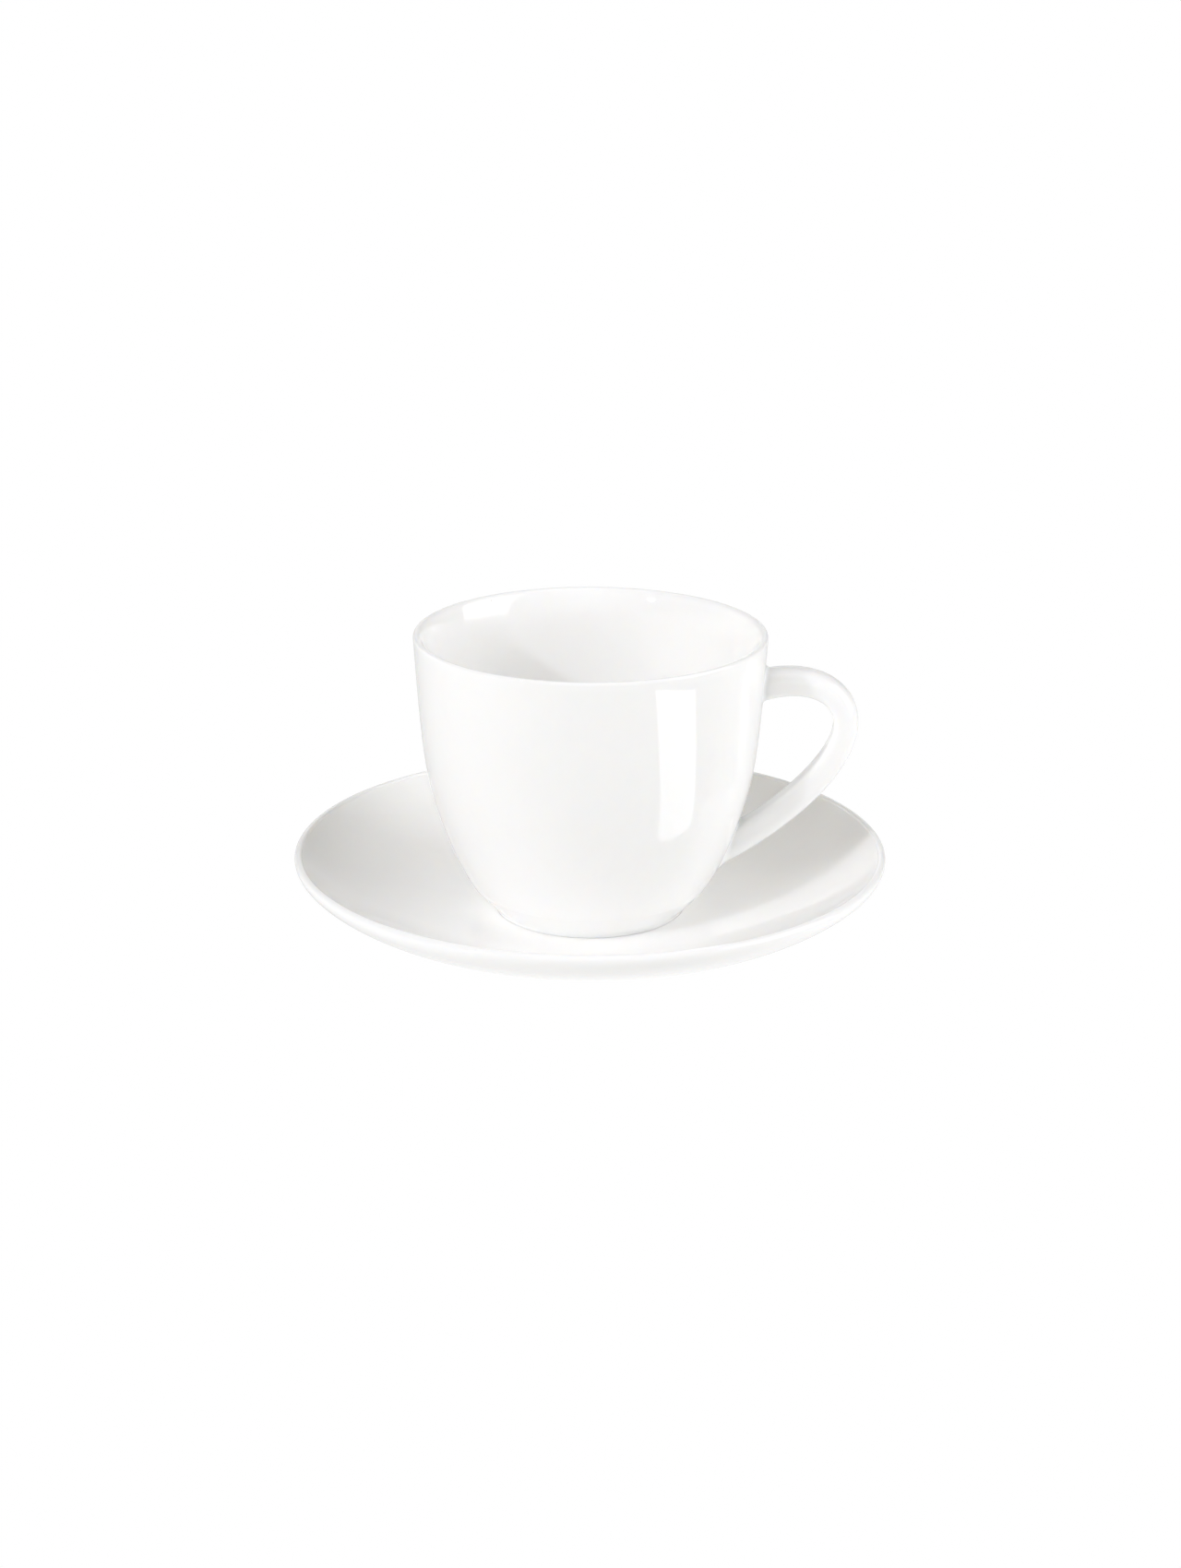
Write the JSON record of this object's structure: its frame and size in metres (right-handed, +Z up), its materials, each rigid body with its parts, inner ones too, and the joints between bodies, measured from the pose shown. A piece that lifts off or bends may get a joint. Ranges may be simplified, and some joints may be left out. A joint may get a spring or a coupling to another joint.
{
  "type": "cappuccino cup with saucer",
  "caption": "White glazed porcelain cappuccino cup with a tapered bowl and a looped strap handle, standing in the well of a plain coupe saucer with a foot ring.",
  "frame": {"origin": "on the table, on the common axis of the saucer and the cup, in the plane of the saucer's foot ring", "axes": "+Z up along the axis, +X from the axis to the handle, +Y by the right-hand rule; the picture looks roughly along +Y"},
  "size_m": [0.153, 0.153, 0.0791],
  "materials": {
    "saucer_glaze": "clear gloss glaze over white porcelain, foot ring left bare",
    "bowl_glaze": "clear gloss glaze over white porcelain, foot ring left bare",
    "handle_glaze": "clear gloss glaze over white porcelain",
    "slip_glaze": "fired slip under the same clear gloss glaze"
  },
  "bodies": {
    "saucer": {"saucer": "saucer_glaze"},
    "cup": {"cup_body": "bowl_glaze", "cup_handle": "handle_glaze", "upper_slip_joint": "slip_glaze", "lower_slip_joint": "slip_glaze"}
  },
  "joints": [
    {"name": "cup_lift", "type": "slide", "parent": "saucer", "child": "cup", "axis": [0, 0, 1], "range_m": [0, 0.15]}
  ]
}
